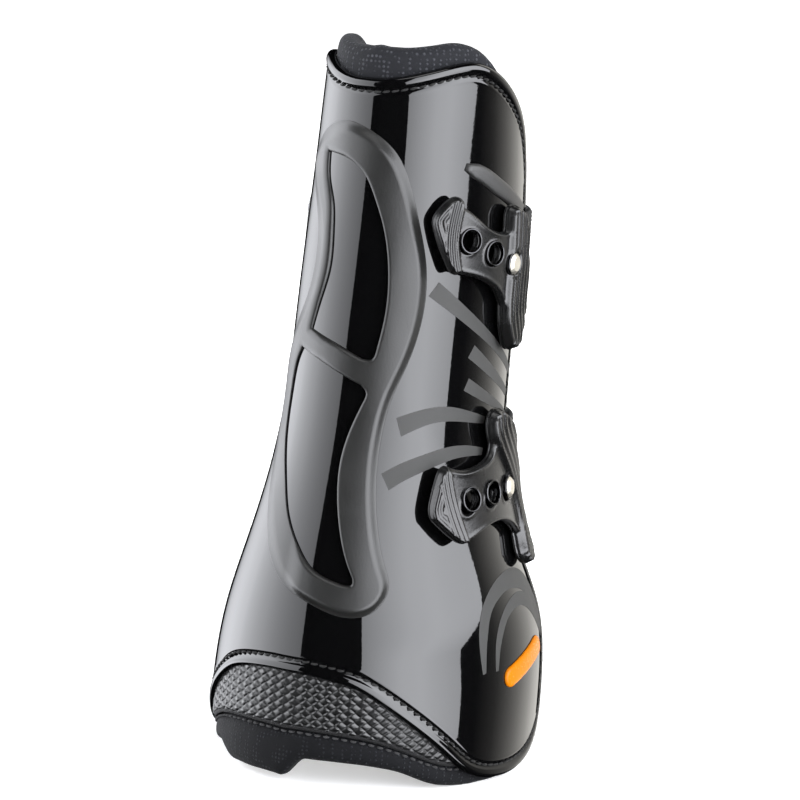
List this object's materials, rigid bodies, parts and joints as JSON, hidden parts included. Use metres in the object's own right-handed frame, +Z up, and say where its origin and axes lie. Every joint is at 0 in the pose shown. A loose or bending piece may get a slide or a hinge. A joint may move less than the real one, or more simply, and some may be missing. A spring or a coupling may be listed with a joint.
{
  "type": "tendon boot",
  "caption": "Open-front tendon boot for a horse's fore leg: rigid gloss shell over a padded liner, with elastic straps whose holed end tabs hook over studs.",
  "frame": {"origin": "on the ground plane below the middle of the boot's bounding box", "axes": "+Z up the leg, +Y to the front of the leg (the open side), +X to the outer side of the leg (the side with the straps' tabs)"},
  "size_m": [0.1106, 0.1172, 0.247],
  "materials": {
    "gloss_shell": "mirror-gloss moulded polyurethane",
    "satin_frame": "satin moulded polyurethane",
    "accent": "gloss, orange",
    "foam": "closed-cell impact foam",
    "neoprene": "perforated neoprene",
    "lining": "knitted lining",
    "collar_fabric": "fabric-faced neoprene",
    "weave_panel": "basket-weave relief, satin",
    "binding_tape": "woven tape",
    "stud_metal": "polished",
    "steel": "plain",
    "elastic": "woven elastic",
    "strap_moulding": "satin moulded polyurethane",
    "eyelet_metal": "dark polished"
  },
  "bodies": {
    "boot": {"outer_shell": "gloss_shell", "strike_frame": "satin_frame", "accent_badge": "accent", "impact_sheet": "foam", "neoprene_liner": "neoprene", "leg_lining": "lining", "top_collar": "collar_fabric", "bottom_roll": "collar_fabric", "fetlock_panel": "weave_panel", "front_edge_binding": "binding_tape", "upper_stud": "stud_metal", "upper_stud_washer": "steel", "upper_elastic": "elastic", "upper_anchor_plate": "strap_moulding", "upper_anchor_rivets": "steel", "lower_stud": "stud_metal", "lower_stud_washer": "steel", "lower_elastic": "elastic", "lower_anchor_plate": "strap_moulding", "lower_anchor_rivets": "steel"},
    "upper_strap": {"upper_strap_tab": "strap_moulding", "upper_tab_eyelets": "eyelet_metal"},
    "lower_strap": {"lower_strap_tab": "strap_moulding", "lower_tab_eyelets": "eyelet_metal"}
  },
  "joints": [
    {"name": "upper_strap_hinge", "type": "hinge", "parent": "boot", "child": "upper_strap", "pos_m": [0.03705, 0.02792, 0.168], "axis": [0, 0.09, 0.9959], "range_deg": [0, 125], "deforming": ["upper_elastic"]},
    {"name": "lower_strap_hinge", "type": "hinge", "parent": "boot", "child": "lower_strap", "pos_m": [0.03595, 0.03242, 0.097], "axis": [-0.03, -0.3101, 0.9502], "range_deg": [0, 125], "deforming": ["lower_elastic"]}
  ]
}
